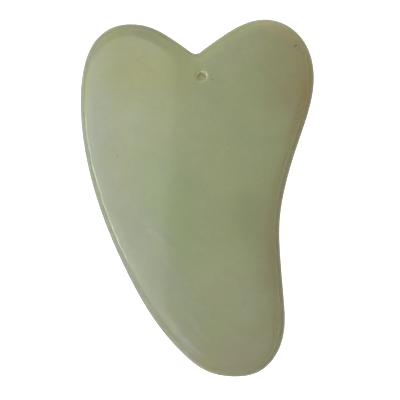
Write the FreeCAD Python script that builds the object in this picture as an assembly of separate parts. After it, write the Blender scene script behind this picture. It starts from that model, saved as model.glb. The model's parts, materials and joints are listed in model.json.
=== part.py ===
import FreeCAD, Part
import math
import os

# A gua sha scraping board, carved from one slab of jade: a lopsided heart with two lobes, a small
# notch between them, a long full edge on the left and a hollow waist on the right above a rounded toe.
# It has rounded edges all round and one small hole for a hanging string.
#
# The board lies flat. X runs across it, Y runs along it with the lobes at +Y, and Z is its thickness.
# The origin is under the middle of the board's bounding box, in the plane that it rests on.
# All lengths are millimetres and all angles are degrees.

LENGTH = 90.0
WIDTH = 59.0
THICKNESS = 6.0

MID_Z = THICKNESS / 2.0
TOP_Y = LENGTH / 2.0
TOE_Y = -LENGTH / 2.0
RIGHT_X = WIDTH / 2.0
LEFT_X = -WIDTH / 2.0

# The notch between the lobes is a small round cut. Each flank leaves it at its own slope.
NOTCH_RADIUS = 1.85
NOTCH_CENTRE = FreeCAD.Vector(-0.4, 38.1, MID_Z)
LEFT_FLANK_SLOPE = 36.5
RIGHT_FLANK_SLOPE = 39.5

# The edge is ground in three rounds: the nose around the widest point, a tight corner, and a wide
# gentle crown that runs out into the flat face. Each tilt is the surface's angle to the face.
CORNER_RADIUS = 0.9
CROWN_RADIUS = 14.0
NOSE_END_TILT = 33.0
CROWN_START_TILT = 9.0

# The string hole goes straight through, and both of its rims are rounded over.
HOLE_X = 1.0
HOLE_Y = 30.1
HOLE_RADIUS = 1.2
RIM_ROUND = 0.6


def sine(angle):
    return math.sin(math.radians(angle))


def cosine(angle):
    return math.cos(math.radians(angle))


def heading(angle):
    """A level unit vector, with the angle counted from +X towards +Y."""
    return FreeCAD.Vector(cosine(angle), sine(angle), 0.0)


def outline_points():
    """Points that the outline passes, from the left lobe round the toe to the right lobe."""
    left_lobe = [(-6.6, 40.2), (-12.2, 43.1), (-16.9, 43.8), (-21.6, 42.9), (-26.3, 38.9), (-28.6, 33.2)]
    left_edge = [(LEFT_X, 22.0), (-28.2, 10.8), (-24.7, -2.4), (-18.4, -17.5), (-11.5, -29.8)]
    toe = [(-3.6, -39.3), (2.3, -43.6), (9.0, TOE_Y), (15.4, -43.8), (20.1, -38.9), (21.8, -33.4)]
    waist = [(21.7, -25.4), (20.9, -15.2), (20.8, -5.7), (22.1, 2.2), (25.1, 12.5), (27.7, 20.2)]
    right_lobe = [(RIGHT_X, 29.4), (28.1, 37.4), (24.2, 42.5), (17.0, TOP_Y), (11.0, 43.5), (5.4, 40.1)]
    corners = left_lobe + left_edge + toe + waist + right_lobe
    return [FreeCAD.Vector(x, y, MID_Z) for x, y in corners]


def outline_wire():
    """The outline at half thickness: one smooth curve, closed by the round of the notch."""
    left_end = NOTCH_CENTRE + heading(-90.0 - LEFT_FLANK_SLOPE) * NOTCH_RADIUS
    right_end = NOTCH_CENTRE + heading(-90.0 + RIGHT_FLANK_SLOPE) * NOTCH_RADIUS
    lowest = NOTCH_CENTRE + heading(-90.0) * NOTCH_RADIUS
    points = [left_end] + outline_points() + [right_end]
    curve = Part.BSplineCurve()
    curve.interpolate(
        Points=points,
        InitialTangent=heading(180.0 - LEFT_FLANK_SLOPE),
        FinalTangent=heading(180.0 + RIGHT_FLANK_SLOPE),
        Scale=False,
    )
    notch = Part.Arc(right_end, lowest, left_end)
    return Part.Wire([curve.toShape(), notch.toShape()])


def edge_section():
    """The ground edge in the X-Z plane: (distance in from the outline, height over the middle)."""
    corner_rise = CORNER_RADIUS * (cosine(CROWN_START_TILT) - cosine(NOSE_END_TILT))
    crown_rise = CROWN_RADIUS * (1.0 - cosine(CROWN_START_TILT))
    nose_radius = (THICKNESS / 2.0 - corner_rise - crown_rise) / cosine(NOSE_END_TILT)
    rounds = [
        (nose_radius, 90.0, NOSE_END_TILT),
        (CORNER_RADIUS, NOSE_END_TILT, CROWN_START_TILT),
        (CROWN_RADIUS, CROWN_START_TILT, 0.0),
    ]
    arcs = []
    inward, up = 0.0, 0.0
    for radius, first_tilt, last_tilt in rounds:
        centre_inward = inward + radius * sine(first_tilt)
        centre_up = up - radius * cosine(first_tilt)
        stations = []
        for tilt in (first_tilt, (first_tilt + last_tilt) / 2.0, last_tilt):
            stations.append((centre_inward - radius * sine(tilt), centre_up + radius * cosine(tilt)))
        arcs.append(stations)
        inward, up = stations[-1]
    return arcs


def edge_band(outline):
    """The ground edge, swept all the way round the outline as one open band."""
    curve = outline.Edges[0]
    start = curve.valueAt(curve.FirstParameter)
    inward = FreeCAD.Vector(0.0, 0.0, 1.0).cross(curve.tangentAt(curve.FirstParameter))
    arcs = []
    for stations in edge_section():
        for side in (1.0, -1.0):
            ends = [start + inward * depth + FreeCAD.Vector(0.0, 0.0, side * up) for depth, up in stations]
            arcs.append(Part.Arc(*ends).toShape())
    section = Part.Wire(Part.__sortEdges__(arcs))
    sweep = Part.BRepOffsetAPI.MakePipeShell(outline)
    sweep.setBiNormalMode(FreeCAD.Vector(0.0, 0.0, 1.0))
    sweep.add(section, False, False)
    sweep.build()
    return sweep.shape()


def flat_faces(band):
    """The two flat faces that the edge band leaves open, front and back."""
    rims = [edge for edge in band.Edges if len(band.ancestorsOfType(edge, Part.Face)) == 1]
    faces = []
    for side in (1.0, -1.0):
        loop = [edge for edge in rims if side * (edge.CenterOfMass.z - MID_Z) > 0.0]
        faces.append(Part.Face(Part.Wire(Part.__sortEdges__(loop))))
    return faces


def board():
    """The whole board as one closed solid, before it is drilled."""
    band = edge_band(outline_wire())
    shell = Part.makeShell(band.Faces + flat_faces(band))
    shell.sewShape()
    solid = Part.makeSolid(shell)
    if solid.Volume < 0.0:
        solid.reverse()
    return solid


def drilled(solid):
    """The board with its string hole, each rim of the hole rounded over."""
    drill = Part.makeCylinder(HOLE_RADIUS, THICKNESS, FreeCAD.Vector(HOLE_X, HOLE_Y, 0.0))
    with_hole = solid.cut(drill).Solids[0]
    rims = []
    for edge in with_hole.Edges:
        is_round = isinstance(edge.Curve, Part.Circle)
        if is_round and abs(edge.Curve.Radius - HOLE_RADIUS) < 0.01 and edge.isClosed():
            rims.append(edge)
    return with_hole.makeFillet(RIM_ROUND, rims).Solids[0]


os.makedirs("parts", exist_ok=True)
scraper = drilled(board())
scraper.exportStep("parts/scraper_body.step")
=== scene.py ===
"""A gua sha scraping board of polished pale green jade, on a white table under soft window light.

The CAD frame gives the board's outline, thickness and string hole. This script rebuilds its skin as one
fine mesh with the small unevenness of hand grinding, and gives it a procedural jade material.
"""
import json
import math

import bmesh
import bpy
import numpy as np
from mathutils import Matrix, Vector, noise
from mathutils.geometry import delaunay_2d_cdt


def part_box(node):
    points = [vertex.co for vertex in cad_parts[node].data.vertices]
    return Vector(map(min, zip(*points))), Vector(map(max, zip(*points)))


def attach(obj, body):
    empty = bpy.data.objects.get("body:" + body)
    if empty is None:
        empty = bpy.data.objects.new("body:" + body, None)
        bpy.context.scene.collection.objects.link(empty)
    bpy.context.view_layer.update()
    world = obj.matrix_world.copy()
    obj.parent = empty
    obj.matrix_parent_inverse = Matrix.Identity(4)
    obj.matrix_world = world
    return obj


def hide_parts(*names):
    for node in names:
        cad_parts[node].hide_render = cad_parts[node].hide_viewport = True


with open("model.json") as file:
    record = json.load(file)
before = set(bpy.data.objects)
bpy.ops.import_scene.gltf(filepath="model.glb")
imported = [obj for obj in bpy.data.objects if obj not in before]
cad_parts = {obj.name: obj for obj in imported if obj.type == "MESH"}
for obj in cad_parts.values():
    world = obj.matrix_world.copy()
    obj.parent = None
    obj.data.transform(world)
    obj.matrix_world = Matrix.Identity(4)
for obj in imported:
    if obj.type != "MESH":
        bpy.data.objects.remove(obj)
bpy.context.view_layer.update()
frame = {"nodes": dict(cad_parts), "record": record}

MM = 0.001

# ---------------------------------------------------------------- what the frame says

NODE = "scraper_body"
LOW, HIGH = (Vector(corner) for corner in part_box(NODE))
CENTRE = (LOW + HIGH) / 2
LENGTH = HIGH.y - LOW.y
HALF = (HIGH.z - LOW.z) / 2         # of the thickness

HOLE_MOUNT = next(mount for mount in frame["record"]["mounts"] if mount["kind"] == "bore")
HOLE = np.array(HOLE_MOUNT["pos_m"][:2])
HOLE_RADIUS = HOLE_MOUNT["dims"]["r_mm"] * MM

# ---------------------------------------------------------------- the ground edge, as the CAD rounds it

CORNER_RADIUS = 0.9 * MM
CROWN_RADIUS = 14.0 * MM
NOSE_END_TILT = math.radians(33.0)
CROWN_START_TILT = math.radians(9.0)
EDGE_WANDER = 0.13          # how far the ground edge's width strays from its mean, as a share of it
SLOW_WANDER = 19 * MM       # length of its slow waves
SLOW_PART = 1.6             # and their weight
QUICK_WANDER = 4 * MM       # the same for its quick waves
QUICK_PART = 0.35
EDGE_PATTERN = 66.69        # which slice of the noise the slow waves follow
HOLE_GAP = 0.25 * MM        # flat face kept between the ground edge and the hole's rim
RIPPLE = 0.02 * MM          # height of the slow unevenness that hand polishing leaves
RIPPLE_SLOW = (13 * MM, 17 * MM)    # its length along X and along Y
RIPPLE_QUICK = (5 * MM, 6 * MM)     # and that of the lower waves that ride on it
NOSE_STEPS = 9              # strips of mesh round each part of the edge
CORNER_STEPS = 8
CROWN_STEPS = 7

# Small nicks in the front corner of the long edge: where they are, how wide and how deep.
NICKS = ((-26.6 * MM, 12.1 * MM), (-25.7 * MM, 8.3 * MM), (-23.2 * MM, -1.6 * MM))
NICK_REACH = 0.55 * MM
NICK_DEPTH = 0.06 * MM

# ---------------------------------------------------------------- the hole's rims

RIM_ROUND = 0.5 * MM        # a little less than in the CAD, to keep some flat face beside the notch
RIM_TILTS = (0, 7, 14, 21, 28, *np.linspace(35, 90, 7))     # in degrees: a finer mesh next to the face

# ---------------------------------------------------------------- mesh fineness

RING_STEP = 0.3 * MM        # along the outline
FACE_STEP = 0.7 * MM        # across the flat faces
HOLE_STEPS = 72             # round the hole
WELD = 0.001 * MM


def cad_outline():
    """The CAD board's points at half thickness, in order round it, counter-clockwise from above."""
    welded = bmesh.new()
    welded.from_mesh(frame["nodes"][NODE].data)
    bmesh.ops.remove_doubles(welded, verts=welded.verts, dist=WELD)

    def on_ring(vertex):
        return abs(vertex.co.z - CENTRE.z) < WELD

    vertex = next(v for v in welded.verts if on_ring(v))
    ring = [vertex]
    while vertex is not None:
        around = [edge.other_vert(vertex) for edge in vertex.link_edges]
        vertex = next((v for v in around if on_ring(v) and v not in ring), None)
        if vertex is not None:
            ring.append(vertex)
    points = np.array([vertex.co.xy[:] for vertex in ring])
    welded.free()
    following = np.roll(points, -1, axis=0)
    signed_area = np.sum(points[:, 0] * following[:, 1] - points[:, 1] * following[:, 0]) / 2
    return points if signed_area > 0 else points[::-1]


def closed_spline(points, step):
    """Points a step apart on the smooth closed curve through the given ones, and their unit tangents."""
    count = len(points)
    following = np.roll(points, -1, axis=0)
    spans = np.linalg.norm(following - points, axis=1)
    slopes = (following - points) / spans[:, None]
    system = np.zeros((count, count))
    for i in range(count):
        system[i, i - 1] = spans[i - 1]
        system[i, i] = 2 * (spans[i - 1] + spans[i])
        system[i, (i + 1) % count] = spans[i]
    bends = np.linalg.solve(system, 6 * (slopes - np.roll(slopes, 1, axis=0)))
    starts = np.concatenate([[0.0], np.cumsum(spans)])

    def at(along):
        i = np.clip(np.searchsorted(starts, along, side="right") - 1, 0, count - 1)
        j = (i + 1) % count
        span = spans[i][:, None]
        done = (along - starts[i])[:, None]
        left = span - done
        place = (bends[i] * left ** 3 + bends[j] * done ** 3) / (6 * span)
        place += (points[i] / span - bends[i] * span / 6) * left
        place += (points[j] / span - bends[j] * span / 6) * done
        direction = (bends[j] * done ** 2 - bends[i] * left ** 2) / (2 * span)
        direction += (points[j] - points[i]) / span - (bends[j] - bends[i]) * span / 6
        return place, direction / np.linalg.norm(direction, axis=1)[:, None]

    stations = int(round(starts[-1] / step))
    return at(np.linspace(0.0, starts[-1], stations, endpoint=False))


def edge_section():
    """The ground edge as (inset, height over the middle) pairs, from the widest point to the flat face."""
    corner_rise = CORNER_RADIUS * (math.cos(CROWN_START_TILT) - math.cos(NOSE_END_TILT))
    crown_rise = CROWN_RADIUS * (1 - math.cos(CROWN_START_TILT))
    nose_radius = (HALF - corner_rise - crown_rise) / math.cos(NOSE_END_TILT)
    rounds = [
        (nose_radius, math.pi / 2, NOSE_END_TILT, NOSE_STEPS),
        (CORNER_RADIUS, NOSE_END_TILT, CROWN_START_TILT, CORNER_STEPS),
        (CROWN_RADIUS, CROWN_START_TILT, 0.0, CROWN_STEPS),
    ]
    section = [(0.0, 0.0)]
    for radius, first_tilt, last_tilt, steps in rounds:
        inset, height = section[-1]
        for tilt in np.linspace(first_tilt, last_tilt, steps + 1)[1:]:
            run = radius * (math.sin(first_tilt) - math.sin(tilt))
            rise = radius * (math.cos(tilt) - math.cos(first_tilt))
            section.append((inset + run, height + rise))
    return section


def wander(points, side, full_inset):
    """How much wider or narrower than its mean the ground edge is beside each outline point.

    The edge keeps clear of the string hole, which lies close under the notch.
    """
    slow = [noise.noise((x / SLOW_WANDER, y / SLOW_WANDER, EDGE_PATTERN * side)) for x, y in points]
    quick = [noise.noise((x / QUICK_WANDER, y / QUICK_WANDER, 9.0 * side)) for x, y in points]
    width = 1 + EDGE_WANDER * (SLOW_PART * np.array(slow) + QUICK_PART * np.array(quick))
    room = np.linalg.norm(points - HOLE, axis=1) - HOLE_RADIUS - RIM_ROUND - HOLE_GAP
    return np.minimum(width, room / full_inset)


def ripple(x, y, side):
    """Height of the polishing unevenness at a point of the front (side 1) or back (side -1) face."""
    slow = noise.noise((x / RIPPLE_SLOW[0], y / RIPPLE_SLOW[1], 3.0 * side))
    quick = noise.noise((x / RIPPLE_QUICK[0], y / RIPPLE_QUICK[1], 7.0 * side))
    return RIPPLE * (slow + 0.25 * quick)


def nick(x, y):
    """How deep the nicks are at a point of the front."""
    shares = [1 - math.hypot(x - middle_x, y - middle_y) / NICK_REACH for middle_x, middle_y in NICKS]
    return NICK_DEPTH * max(0.0, *shares)


def inside(points, loop):
    """Which of the points lie inside a closed loop."""
    x, y = points[:, 0, None], points[:, 1, None]
    ax, ay = loop[None, :, 0], loop[None, :, 1]
    bx, by = np.roll(ax, -1, axis=1), np.roll(ay, -1, axis=1)
    straddles = (ay > y) != (by > y)
    with np.errstate(divide="ignore", invalid="ignore"):
        crosses = straddles & (x < (bx - ax) * (y - ay) / (by - ay) + ax)
    return crosses.sum(axis=1) % 2 == 1


def face_points(rim):
    """An even triangular scatter of points over a flat face, clear of its rim and of the hole."""
    rows = np.arange(LOW.y, HIGH.y, FACE_STEP * math.sqrt(3) / 2)
    columns = np.arange(LOW.x, HIGH.x, FACE_STEP)
    x, y = np.meshgrid(columns, rows)
    x[1::2] += FACE_STEP / 2
    scatter = np.column_stack([x.ravel(), y.ravel()])
    scatter = scatter[inside(scatter, rim)]
    gap = np.full(len(scatter), np.inf)
    for point in rim:
        gap = np.minimum(gap, np.linalg.norm(scatter - point, axis=1))
    from_hole = np.linalg.norm(scatter - HOLE, axis=1)
    clear = (gap > FACE_STEP / 2) & (from_hole > HOLE_RADIUS + RIM_ROUND + FACE_STEP / 2)
    return scatter[clear]


class Skin:
    """Collects rings of points and the faces between them."""

    def __init__(self):
        self.points = []
        self.faces = []

    def add(self, points):
        """Adds points and returns their numbers."""
        first = len(self.points)
        self.points.extend(tuple(point) for point in points)
        return list(range(first, len(self.points)))

    def bridge(self, ring, following, side):
        """Quads between a closed ring and the one that it surrounds, on the front (1) or back (-1)."""
        if side < 0:
            ring, following = following, ring
        count = len(ring)
        for i in range(count):
            j = (i + 1) % count
            self.faces.append((ring[i], ring[j], following[j], following[i]))

    def fill(self, rim, hole_rim, loose, side):
        """Triangles over the front (1) or back (-1) face, between its rim and the hole's rim."""
        numbers = rim + hole_rim + loose
        flat = [Vector(self.points[number][:2]) for number in numbers]
        edges = []
        for first, count in ((0, len(rim)), (len(rim), len(hole_rim))):
            edges += [(first + i, first + (i + 1) % count) for i in range(count)]
        _, _, triangles, origins, _, _ = delaunay_2d_cdt(flat, edges, [], 1, WELD)
        for triangle in triangles:
            corners = [numbers[origins[corner][0]] for corner in triangle]
            middle = np.mean([self.points[corner][:2] for corner in corners], axis=0)
            if np.linalg.norm(middle - HOLE) > HOLE_RADIUS + RIM_ROUND:
                self.faces.append(tuple(corners[::side]))


def rim_section():
    """The hole's rim as (distance from the axis, drop under the face) pairs, from the face to the bore."""
    section = []
    for tilt in np.radians(RIM_TILTS):
        out = HOLE_RADIUS + RIM_ROUND * (1 - math.sin(tilt))
        section.append((out, RIM_ROUND * (1 - math.cos(tilt))))
    return section


def hole_ring(radius, height):
    """A ring of points round the string hole."""
    turns = np.linspace(0, 2 * math.pi, HOLE_STEPS, endpoint=False)
    return [(HOLE[0] + radius * math.cos(t), HOLE[1] + radius * math.sin(t), height) for t in turns]


def board_skin():
    """The whole board: the ground edge, the two faces and the string hole."""
    outline, tangents = closed_spline(cad_outline(), RING_STEP)
    inward = np.column_stack([-tangents[:, 1], tangents[:, 0]])
    section = edge_section()
    skin = Skin()
    widest = skin.add([(x, y, CENTRE.z) for x, y in outline])
    hole_rims = {}
    for side in (1, -1):
        width = wander(outline, side, section[-1][0])[:, None]
        ring = widest
        for inset, height in section[1:]:
            flat = outline + inward * inset * width
            level = CENTRE.z + side * height
            following = skin.add([(x, y, level) for x, y in flat])
            skin.bridge(ring, following, side)
            ring = following
        loose = skin.add([(x, y, level) for x, y in face_points(flat)])
        rims = []
        for radius, drop in rim_section():
            rims.append(skin.add(hole_ring(radius, CENTRE.z + side * (HALF - drop))))
        for outer, inner in zip(rims, rims[1:]):
            skin.bridge(outer, inner, side)
        hole_rims[side] = rims[-1]
        skin.fill(ring, rims[0], loose, side)
    skin.bridge(hole_rims[1], hole_rims[-1], 1)
    return skin


def make_board():
    """The board as a Blender object that stands for the CAD node."""
    skin = board_skin()
    mesh = bpy.data.meshes.new("jade_board")
    mesh.from_pydata(skin.points, [], skin.faces)
    mesh.validate()
    for vertex in mesh.vertices:
        side = 1 if vertex.co.z > CENTRE.z else -1
        lift = abs(vertex.co.z - CENTRE.z) / HALF
        vertex.co.z += ripple(vertex.co.x, vertex.co.y, side) * lift
        if side > 0:
            vertex.co.z -= nick(vertex.co.x, vertex.co.y) * lift
    mesh.shade_smooth()
    board = bpy.data.objects.new("jade_board", mesh)
    bpy.context.scene.collection.objects.link(board)
    return board


class Nodes:
    """Builds a node tree: each call adds a node, sets or links its inputs, and returns it."""

    def __init__(self, tree):
        self.tree = tree

    def add(self, kind, settings=None, **inputs):
        node = self.tree.nodes.new(kind)
        for name, value in (settings or {}).items():
            setattr(node, name, value)
        for name, value in inputs.items():
            self.feed(node.inputs[name.replace("_", " ")], value)
        return node

    def feed(self, socket, value):
        if isinstance(value, bpy.types.NodeSocket):
            self.tree.links.new(value, socket)
        else:
            socket.default_value = value

    def math(self, operation, *values):
        node = self.tree.nodes.new("ShaderNodeMath")
        node.operation = operation
        for socket, value in zip(node.inputs, values):
            self.feed(socket, value)
        return node.outputs[0]

    def vector(self, operation, *values):
        node = self.tree.nodes.new("ShaderNodeVectorMath")
        node.operation = operation
        for socket, value in zip(node.inputs, values):
            self.feed(socket, value)
        return node.outputs["Value" if operation in ("LENGTH", "DOT_PRODUCT") else "Vector"]

    def remap(self, value, low, high, to_low=0.0, to_high=1.0):
        """The value's smooth passage from to_low to to_high as it goes from low to high."""
        node = self.tree.nodes.new("ShaderNodeMapRange")
        node.interpolation_type = "SMOOTHSTEP"
        for socket, number in zip(node.inputs, (value, low, high, to_low, to_high)):
            self.feed(socket, number)
        return node.outputs[0]

    def mix(self, share, first, second, blend="MIX"):
        node = self.tree.nodes.new("ShaderNodeMix")
        node.data_type = "RGBA"
        node.blend_type = blend
        self.feed(node.inputs["Factor"], share)
        self.feed(node.inputs[6], first)
        self.feed(node.inputs[7], second)
        return node.outputs[2]

    def grey(self, value):
        """A grey colour as bright as the value."""
        return self.add("ShaderNodeCombineColor", None, Red=value, Green=value, Blue=value).outputs[0]

    def noise(self, place, size, detail=2.0, roughness=0.5, distortion=0.0, offset=0.0):
        """Soft noise between 0 and 1 whose features are about the given size in metres."""
        moved = self.vector("ADD", place, (offset, offset * 0.37, -offset * 0.71))
        node = self.add("ShaderNodeTexNoise", None, Vector=moved, Scale=1 / size, Detail=detail,
                        Roughness=roughness, Distortion=distortion)
        return node.outputs["Fac"]


def new_material(name):
    material = bpy.data.materials.new(name)
    material.use_nodes = True
    material.node_tree.nodes.clear()
    return material, Nodes(material.node_tree)


# ---------------------------------------------------------------- the jade

JADE = (0.269, 0.296, 0.146, 1)
STRAY_SIZE = 14 * MM        # size of the bends in the zones' and wisps' borders
ZONE_WARP = 6.0 * MM        # how far the zones' borders stray from plain ellipses
WISP_WARP = 1.5 * MM        # the same for the wisps
STREAK_SIZE = 3.2 * MM      # breaks in the wisps
CLOUD_SIZE = 6.5 * MM       # soft lighter and darker clouds
CLOUD_SPREAD = 0.03
TINT_SIZE = 9 * MM          # slow change between a cooler and a warmer tint
COOL_TINT = (0.985, 1.005, 1.02, 1)
WARM_TINT = (1.012, 0.997, 0.975, 1)
GRAIN_SIZE = 0.7 * MM
GRAIN_SPREAD = 0.04

POLISH = 0.34               # roughness of the faces
POLISH_SPREAD = 0.05        # how much smears change it
SMEAR_SIZE = 8 * MM
EDGE_POLISH = 0.16          # the ground edge is buffed brighter than the faces
EDGE_UPRIGHT = 0.96         # upward share of the surface's direction where that buffing is full
FACE_UPRIGHT = 0.985        # and where it ends
WAVE_SIZE = 2.5 * MM        # faint waves left by the polishing
WAVE_HEIGHT = 0.02 * MM

DRILLED_RIM_AND_PAINTED_LIGHT = (0.68, 0.69, 0.50, 1)        # the string hole's wall near the front face: pale frosted stone, lightened further as painted light in the hole's shade
DRILLED_DEEP_AND_PAINTED_LIGHT = (0.96, 0.96, 0.82, 1)       # the same deep down: frosted white, lightened most as painted light where the hole's shade is deepest
DRILLED_ROUGHNESS = 0.9
DRILLED_BLEND = 0.14 * MM   # how far out from the bore the drilled look and its painted light fade

# Broad zones of the stone, with painted shade down the right side and in the waist, laid over each other
# in order: middle and reach in mm, turn in degrees, how strong the zone is at its middle, and its colour.
ZONES_AND_PAINTED_SHADE = (
    ((-14, 33), (17, 12), -20, 1.0, (0.262, 0.278, 0.092)),     # olive cast of the left lobe
    ((-8, -3), (13, 20), 8, 1.0, (0.230, 0.284, 0.124)),        # greener heart
    ((-13, -15), (32, 9), -57, 0.9, (0.252, 0.282, 0.172)),     # pale cool band by the long edge
    ((-26, 39), (10, 5), 55, 1.0, (0.258, 0.262, 0.184)),       # greyer rim of the left lobe
    ((-11, 43), (13, 6), 0, 0.6, (0.248, 0.240, 0.146)),        # duller top of the left lobe
    ((-27, 8), (8, 26), 0, 0.8, (0.252, 0.282, 0.204)),         # cooler long edge
    ((-3, 37.5), (8, 5), -35, 0.9, (0.306, 0.310, 0.168)),      # lighter flank of the notch
    ((-18, -20), (28, 4.5), -63, 0.9, (0.256, 0.270, 0.205)),   # bluish lower half of the long edge
    ((-3, -40), (11, 6), -50, 0.9, (0.294, 0.286, 0.228)),      # greyer left side of the toe
    ((12, 37), (13, 7), 35, 0.8, (0.300, 0.300, 0.172)),        # lighter shoulder of the right lobe
    ((22, 43), (11, 4), -40, 0.9, (0.350, 0.324, 0.178)),       # pale warm rim of the right lobe
    ((12, -24), (15, 12), 0, 0.9, (0.280, 0.297, 0.170)),       # greyer cloud over the toe
    ((15, -5), (9, 10), 20, 0.9, (0.232, 0.255, 0.118)),        # darker waist: painted shade where the crown turns away from the window light
    ((30, 24), (14, 26), 12, 1.0, (0.258, 0.216, 0.098)),       # rusty brown flank of the right lobe, darkened as painted shade away from the window
    ((27, -15), (14, 38), 0, 0.9, (0.232, 0.206, 0.110)),       # brown tinge down the hollow edge, darkened as painted shade away from the window
    ((12, -41), (16, 10), 20, 0.8, (0.280, 0.264, 0.168)),      # warm tip of the toe
)

# Dark mineral specks just under the front face: middle, half length and half width in mm, turn in
# degrees, strength.
SPECKS = (
    ((24.6, 37.7), (0.46, 0.26), 25, 0.90),
    ((25.2, 38.7), (0.26, 0.14), 60, 0.60),
    ((25.4, 37.8), (0.20, 0.12), 0, 0.30),
    ((24.9, 36.4), (0.20, 0.14), 40, 0.25),
    ((26.6, 35.8), (0.44, 0.18), 70, 0.60),
    ((3.8, 29.2), (0.24, 0.20), 0, 0.85),
    ((3.8, 30.2), (0.18, 0.14), 0, 0.25),
    ((-20.0, 10.1), (0.26, 0.20), 30, 0.50),
    ((2.7, -0.6), (0.16, 0.12), 0, 0.35),
    ((1.8, 1.2), (0.14, 0.12), 0, 0.25),
)
SPECK_DEPTH = 0.8 * MM
SPECK_FRAY = 0.3 * MM       # size of the ragged bits of their borders
SPECK_COLOUR = (0.085, 0.095, 0.045, 1)

# Wisps in the stone: middle, half length and half width in mm, turn in degrees, strength, colour.
PALE_WISP = (0.340, 0.352, 0.235, 1)
DARK_WISP = (0.175, 0.200, 0.095, 1)
WISPS = (
    ((-10.7, -8.9), (4.5, 1.3), -38, 0.60, PALE_WISP),
    ((-7.6, -10.6), (7.0, 1.1), -37, 0.30, DARK_WISP),
    ((-0.7, -32.0), (7.0, 0.9), -50, 0.40, PALE_WISP),
    ((7.6, 11.3), (1.6, 0.25), 30, 0.40, PALE_WISP),
    ((-19.5, 6.0), (4.0, 2.4), -70, 0.30, PALE_WISP),
    ((12.0, -28.0), (7.5, 3.2), 25, 0.25, PALE_WISP),
    ((9.0, 38.0), (5.0, 1.8), 35, 0.25, PALE_WISP),
    ((4.0, -20.0), (6.0, 1.6), -15, 0.20, PALE_WISP),
    ((14.0, 4.0), (9.0, 2.0), 60, 0.12, DARK_WISP),
)


def heading(azimuth, elevation=0.0):
    """The unit vector that points this way, with both angles in degrees."""
    a, e = math.radians(azimuth), math.radians(elevation)
    return Vector((math.cos(a) * math.cos(e), math.sin(a) * math.cos(e), math.sin(e)))


def oval(nodes, place, middle, reach, turn, depth=None):
    """Distance from the middle of a turned oval, as a share of its reach; flat unless given a depth."""
    offset = nodes.vector("SUBTRACT", place, (middle[0] * MM, middle[1] * MM, HIGH.z))
    spans = [(heading(turn), reach[0] * MM), (heading(turn + 90), reach[1] * MM)]
    if depth is not None:
        spans.append(((0, 0, 1), depth))
    parts = [nodes.math("DIVIDE", nodes.vector("DOT_PRODUCT", offset, way), span) for way, span in spans]
    squares = [nodes.math("MULTIPLY", part, part) for part in parts]
    total = squares[0]
    for square in squares[1:]:
        total = nodes.math("ADD", total, square)
    return nodes.math("SQRT", total)


def stone_colour(nodes, place):
    """The jade's colour, with painted shade down its right side and in its waist: broad zones, clouds,
    pale wisps, fine grain and dark specks.
    """
    bends = nodes.add("ShaderNodeTexNoise", None, Vector=place, Scale=1 / STRAY_SIZE, Detail=3.0,
                      Roughness=0.55)
    stray = nodes.vector("SUBTRACT", bends.outputs["Color"], (0.5, 0.5, 0.5))
    warped = nodes.vector("ADD", place, nodes.vector("MULTIPLY", stray, (ZONE_WARP * 2,) * 3))
    colour = JADE
    # stone tones, and painted shade on the right side and in the waist
    for middle, reach, turn, strength, zone_tone_and_shade in ZONES_AND_PAINTED_SHADE:
        share = nodes.remap(oval(nodes, warped, middle, reach, turn), 0.1, 1.15, strength, 0.0)
        colour = nodes.mix(share, colour, (*zone_tone_and_shade, 1))

    streaky = nodes.noise(place, STREAK_SIZE, detail=4, roughness=0.6, distortion=1.2, offset=0.31)
    frayed = nodes.vector("ADD", place, nodes.vector("MULTIPLY", stray, (WISP_WARP * 2,) * 3))
    for middle, reach, turn, strength, wisp in WISPS:
        body = nodes.remap(oval(nodes, frayed, middle, reach, turn), 0.0, 1.3, strength, 0.0)
        share = nodes.math("MULTIPLY", body, nodes.remap(streaky, 0.3, 0.6))
        colour = nodes.mix(share, colour, wisp)

    clouds = nodes.noise(place, CLOUD_SIZE, detail=4, roughness=0.55, distortion=0.5, offset=0.17)
    shade = nodes.remap(clouds, 0.25, 0.75, 1 - CLOUD_SPREAD, 1 + CLOUD_SPREAD)
    colour = nodes.mix(1.0, colour, nodes.grey(shade), "MULTIPLY")
    warmth = nodes.noise(place, TINT_SIZE, detail=3, roughness=0.5, offset=0.53)
    tint = nodes.mix(nodes.remap(warmth, 0.3, 0.7), COOL_TINT, WARM_TINT)
    colour = nodes.mix(1.0, colour, tint, "MULTIPLY")
    grain = nodes.noise(place, GRAIN_SIZE, detail=3, roughness=0.7, offset=0.71)
    shade = nodes.remap(grain, 0.2, 0.8, 1 - GRAIN_SPREAD, 1 + GRAIN_SPREAD)
    colour = nodes.mix(1.0, colour, nodes.grey(shade), "MULTIPLY")

    for middle, reach, turn, strength in SPECKS:
        ragged = nodes.noise(place, SPECK_FRAY, detail=2, offset=0.11)
        reached = nodes.math("ADD", oval(nodes, place, middle, reach, turn, SPECK_DEPTH), ragged)
        colour = nodes.mix(nodes.remap(reached, 0.95, 1.65, strength, 0.0), colour, SPECK_COLOUR)
    return colour


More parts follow.
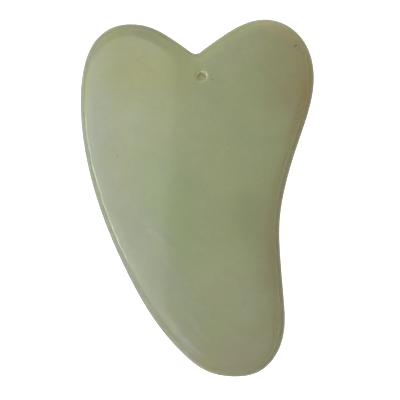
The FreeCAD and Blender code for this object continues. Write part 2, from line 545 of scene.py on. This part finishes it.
def jade():
    material, nodes = new_material("jade")
    coordinates = nodes.add("ShaderNodeTexCoord")
    place = coordinates.outputs["Object"]
    height = nodes.vector("DOT_PRODUCT", place, (0, 0, 1))
    upward = nodes.vector("DOT_PRODUCT", coordinates.outputs["Normal"], (0, 0, 1))
    uprightness = nodes.math("ABSOLUTE", upward)

    across = nodes.vector("MULTIPLY", nodes.vector("SUBTRACT", place, (*HOLE, 0)), (1, 1, 0))
    from_axis = nodes.vector("LENGTH", across)
    drilled = nodes.remap(from_axis, HOLE_RADIUS + DRILLED_BLEND, HOLE_RADIUS)
    # painted light: the drilled wall gets lighter the deeper it goes, against the shade inside the hole
    wall_frost_and_painted_light = nodes.mix(nodes.remap(height, LOW.z, HIGH.z - RIM_ROUND), DRILLED_DEEP_AND_PAINTED_LIGHT, DRILLED_RIM_AND_PAINTED_LIGHT)
    colour = nodes.mix(drilled, stone_colour(nodes, place), wall_frost_and_painted_light)

    smears = nodes.noise(place, SMEAR_SIZE, detail=4, roughness=0.6, distortion=0.8, offset=0.83)
    polish = nodes.remap(smears, 0.3, 0.7, POLISH - POLISH_SPREAD, POLISH + POLISH_SPREAD)
    polish = nodes.remap(uprightness, EDGE_UPRIGHT, FACE_UPRIGHT, EDGE_POLISH, polish)
    roughness = nodes.remap(drilled, 0.0, 1.0, polish, DRILLED_ROUGHNESS)

    waves = nodes.noise(place, WAVE_SIZE, detail=2, offset=0.43)
    bump = nodes.add("ShaderNodeBump", None, Strength=0.2, Distance=WAVE_HEIGHT, Height=waves)
    shader = nodes.add(
        "ShaderNodeBsdfPrincipled", {"subsurface_method": "RANDOM_WALK"},
        Base_Color=colour, Roughness=roughness, IOR=1.56, Coat_Weight=0.35, Coat_Roughness=0.07,
        Subsurface_Weight=1.0, Subsurface_Radius=(1.0, 1.0, 0.7), Subsurface_Scale=5.0 * MM,
        Normal=bump.outputs["Normal"],
    )
    nodes.add("ShaderNodeOutputMaterial", Surface=shader.outputs[0])
    return material


board = make_board()
board.data.materials.append(jade())
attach(board, "root")
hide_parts(NODE)


# ---------------------------------------------------------------- the table, light and camera

WHITE = (1.0, 1.0, 1.0)
FLOOR_SIZE = 4.0
FLOOR_WHITE = (0.55, 0.55, 0.55, 1)
FLOOR_GLOW = 0.12           # the table's own soft light, like a light tent's sheet
FLOOR_SEEN_GLOW = 1.2       # the same as the picture shows it, so that the sheet comes out white
GLOW_IN_HOLE = 0.135        # what is seen of it under the string hole
PAINTED_JADE_GLOW_IN_HOLE = (0.95, 0.96, 0.4, 1)   # painted light: the glow under the hole is tinted as if it had come down through the jade
GLOW_SHADE = 2.5 * MM       # how near a thing must stand to dim that light
SHADED_SKY = 0.3            # share of open sky over the table where the glow is fully dimmed
OPEN_SKY = 0.5              # and where it is whole
SKY_SEEN = 1.0              # brightness of the backdrop in the picture
SKY_LIGHT = 0.27            # and of the light that it gives

# The studio's lights: name, azimuth and elevation in degrees, distance and size in metres, brightness
# and colour. The narrow window draws the bright line down the long edge.
LIGHTS = (
    ("window", 187, 44, 0.4, (0.2, 0.055), 18.0, WHITE),
    ("sky", 178, 74.2, 0.5, (0.34, 0.23), 3.1, WHITE),
    ("high_back", 118, 60, 0.5, (0.34, 0.24), 0.68, WHITE),
    ("back", 135, 36, 0.5, (0.75, 0.36), 0.5, WHITE),
    ("right", 340, 22, 0.5, (0.5, 0.28), 0.75, (1.0, 0.91, 0.84)),
    ("low_left", 197, 18, 0.4, (0.4, 0.16), 1.5, (0.8, 0.88, 1.0)),
    ("low_back", 62, 20, 0.4, (0.5, 0.14), 1.6, (0.97, 0.97, 1.0)),
    ("low_front", 280, 20, 0.4, (0.5, 0.14), 0.6, (1.0, 0.9, 0.95)),
)

LOOK_AT = CENTRE + Vector((0.7 * MM, -0.8 * MM, 0))
VIEW_DISTANCE = 0.22
VIEW_TILT = math.radians(2.0)       # the viewer leans this far toward the toe, off the board's upright
LENGTH_SHARE = 0.893                # the board's length as a share of the picture's height


def make_floor():
    mesh = bpy.data.meshes.new("table")
    reach = FLOOR_SIZE / 2
    corners = [(x * reach, y * reach, LOW.z) for x, y in ((-1, -1), (1, -1), (1, 1), (-1, 1))]
    mesh.from_pydata(corners, [], [(0, 1, 2, 3)])
    floor = bpy.data.objects.new("table", mesh)
    bpy.context.scene.collection.objects.link(floor)
    material, nodes = new_material("white_table")
    sky = nodes.add("ShaderNodeAmbientOcclusion", None, Distance=GLOW_SHADE).outputs["AO"]
    seen = nodes.add("ShaderNodeLightPath").outputs["Is Camera Ray"]
    open_glow = nodes.remap(seen, 0.0, 1.0, FLOOR_GLOW, FLOOR_SEEN_GLOW)
    glow = nodes.remap(sky, SHADED_SKY, OPEN_SKY, GLOW_IN_HOLE, open_glow)
    # painted light: where the table is shaded, its glow takes the jade tint
    tint = nodes.mix(nodes.remap(sky, SHADED_SKY, OPEN_SKY), PAINTED_JADE_GLOW_IN_HOLE, (*WHITE, 1))
    shader = nodes.add("ShaderNodeBsdfPrincipled", None, Base_Color=FLOOR_WHITE, Roughness=0.6,
                       Emission_Color=tint, Emission_Strength=glow)
    nodes.add("ShaderNodeOutputMaterial", Surface=shader.outputs[0])
    mesh.materials.append(material)
    return floor


def make_light(name, azimuth, elevation, distance, size, brightness, colour):
    """A soft rectangle that stands off from the board in the given direction and faces it."""
    light = bpy.data.lights.new(name, "AREA")
    light.shape = "RECTANGLE"
    light.size, light.size_y = size
    light.energy = brightness * math.pi * size[0] * size[1]
    light.color = colour
    lamp = bpy.data.objects.new(name, light)
    outward = heading(azimuth, elevation)
    lamp.location = CENTRE + distance * outward
    lamp.rotation_euler = (-outward).to_track_quat("-Z", "Y").to_euler()
    lamp.visible_camera = False
    bpy.context.scene.collection.objects.link(lamp)


def make_world():
    world = bpy.data.worlds.new("studio")
    bpy.context.scene.world = world
    world.use_nodes = True
    world.node_tree.nodes.clear()
    nodes = Nodes(world.node_tree)
    lighting = nodes.add("ShaderNodeBackground", None, Color=(*WHITE, 1), Strength=SKY_LIGHT)
    backdrop = nodes.add("ShaderNodeBackground", None, Color=(*WHITE, 1), Strength=SKY_SEEN)
    seen = nodes.add("ShaderNodeLightPath").outputs["Is Camera Ray"]
    mix = nodes.add("ShaderNodeMixShader")
    for socket, source in zip(mix.inputs, (seen, lighting.outputs[0], backdrop.outputs[0])):
        nodes.feed(socket, source)
    nodes.add("ShaderNodeOutputWorld", Surface=mix.outputs[0])


def make_camera():
    camera = bpy.data.cameras.new("camera")
    viewer = bpy.data.objects.new("camera", camera)
    viewer.location = LOOK_AT + VIEW_DISTANCE * Vector((0, -math.sin(VIEW_TILT), math.cos(VIEW_TILT)))
    viewer.rotation_euler = (VIEW_TILT, 0, 0)
    camera.sensor_width = 36
    camera.lens = camera.sensor_width * VIEW_DISTANCE / (LENGTH / LENGTH_SHARE)
    camera.clip_start = 0.01
    bpy.context.scene.collection.objects.link(viewer)
    bpy.context.scene.camera = viewer


make_floor()
for setting in LIGHTS:
    make_light(*setting)
make_world()
make_camera()
bpy.context.scene.view_settings.view_transform = "Standard"
